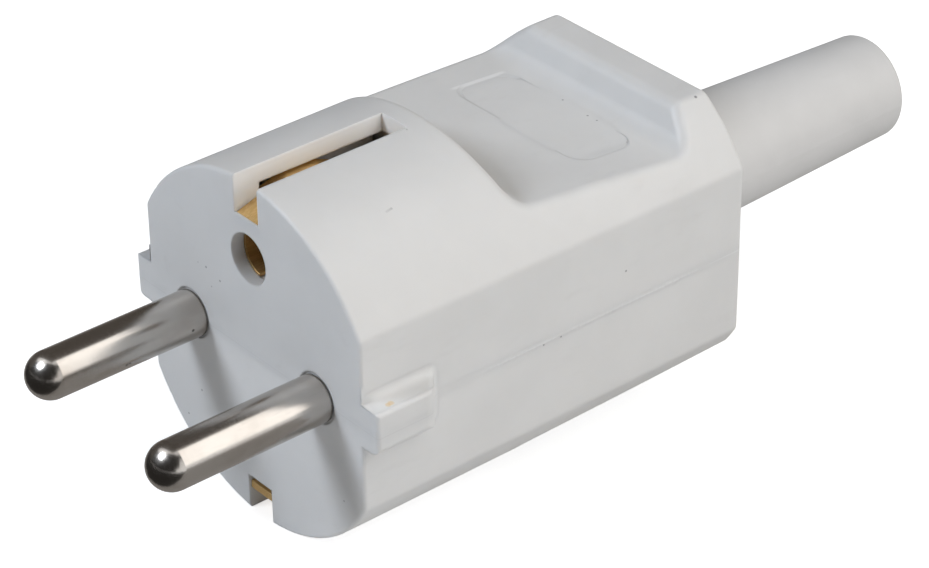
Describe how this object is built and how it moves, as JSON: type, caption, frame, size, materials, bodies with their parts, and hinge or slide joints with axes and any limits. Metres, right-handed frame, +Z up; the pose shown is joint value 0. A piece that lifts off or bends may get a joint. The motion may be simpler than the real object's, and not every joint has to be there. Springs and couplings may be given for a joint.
{
  "type": "type f plug",
  "caption": "White rewireable mains plug with round pins, side earthing contacts, an earth pin hole, finger recesses and a tapered bend-protection sleeve.",
  "frame": {"origin": "centre of the front face, midway between the pins, on the seam of the housing", "axes": "+X along the row of pins, +Y from the front face towards the cord, +Z up towards the earth pin hole"},
  "size_m": [0.0368, 0.0994, 0.037],
  "materials": {
    "housing": "white moulded thermoplastic, satin",
    "clamp": "white moulded thermoplastic",
    "sleeve": "soft white, slightly warm",
    "nickel": "nickel plated brass, lightly polished",
    "brass": "bare rolled brass",
    "steel": "zinc plated steel"
  },
  "bodies": {
    "root": {"upper_shell": "housing", "lower_shell": "housing", "cord_clamp": "clamp", "cable_sleeve": "sleeve", "left_pin": "nickel", "right_pin": "nickel", "earth_bow": "brass", "earth_pin_socket": "brass", "earth_terminal_nut": "brass", "earth_clamp_washer": "steel", "earth_terminal_screw": "steel", "pin_terminal_screws": "steel", "left_wire_guard": "steel", "right_wire_guard": "steel", "housing_screw": "steel", "housing_nut": "steel", "cord_clamp_screws": "steel"}
  },
  "joints": []
}
